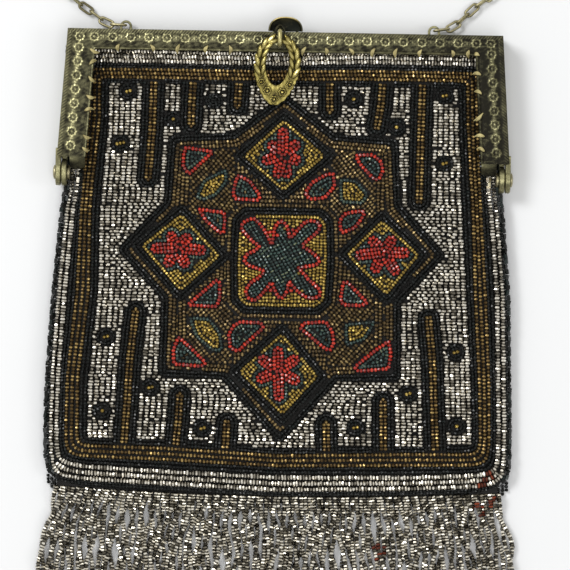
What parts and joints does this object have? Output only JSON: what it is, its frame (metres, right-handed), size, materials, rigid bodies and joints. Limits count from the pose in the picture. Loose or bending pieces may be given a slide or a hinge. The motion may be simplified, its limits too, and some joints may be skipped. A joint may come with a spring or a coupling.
{
  "type": "beaded flapper purse",
  "caption": "Flat beaded evening bag with a hinged stamped metal frame, thumb lever clasp with a wreath drop, chain handle and bead fringe.",
  "frame": {"origin": "middle of the back jaw's top bar, on its flat back face that rests on the surface", "axes": "+X to the right along the frame, +Y up the purse towards the chain, +Z out of the beaded front"},
  "size_m": [0.1675, 0.3109, 0.0175],
  "materials": {
    "antique_brass": "antique patina, dark in the recesses and greenish yellow on the high spots",
    "dark_brass": "blackened brass with a rubbed rim",
    "bright_brass": "yellow brass, satin",
    "chain_brass": "dulled brass wire",
    "beadwork": "solid ground of opaque and metallic seed beads sewn on cloth",
    "silver_beads": "faceted steel-coloured seed beads"
  },
  "bodies": {
    "purse": {"frame_front": "antique_brass", "frame_back": "antique_brass", "hinge_pin_left": "antique_brass", "hinge_pin_right": "antique_brass", "chain_left": "chain_brass", "chain_right": "chain_brass", "bag_body": "beadwork", "fringe": "silver_beads"},
    "clasp": {"clasp_lever": "dark_brass", "clasp_bail": "bright_brass", "wreath_drop": "bright_brass"}
  },
  "joints": [
    {"name": "clasp_lever_hinge", "type": "hinge", "parent": "purse", "child": "clasp", "pos_m": [0, 0.0054, 0.0082], "axis": [-1, 0, 0], "range_deg": [0, 30]}
  ]
}
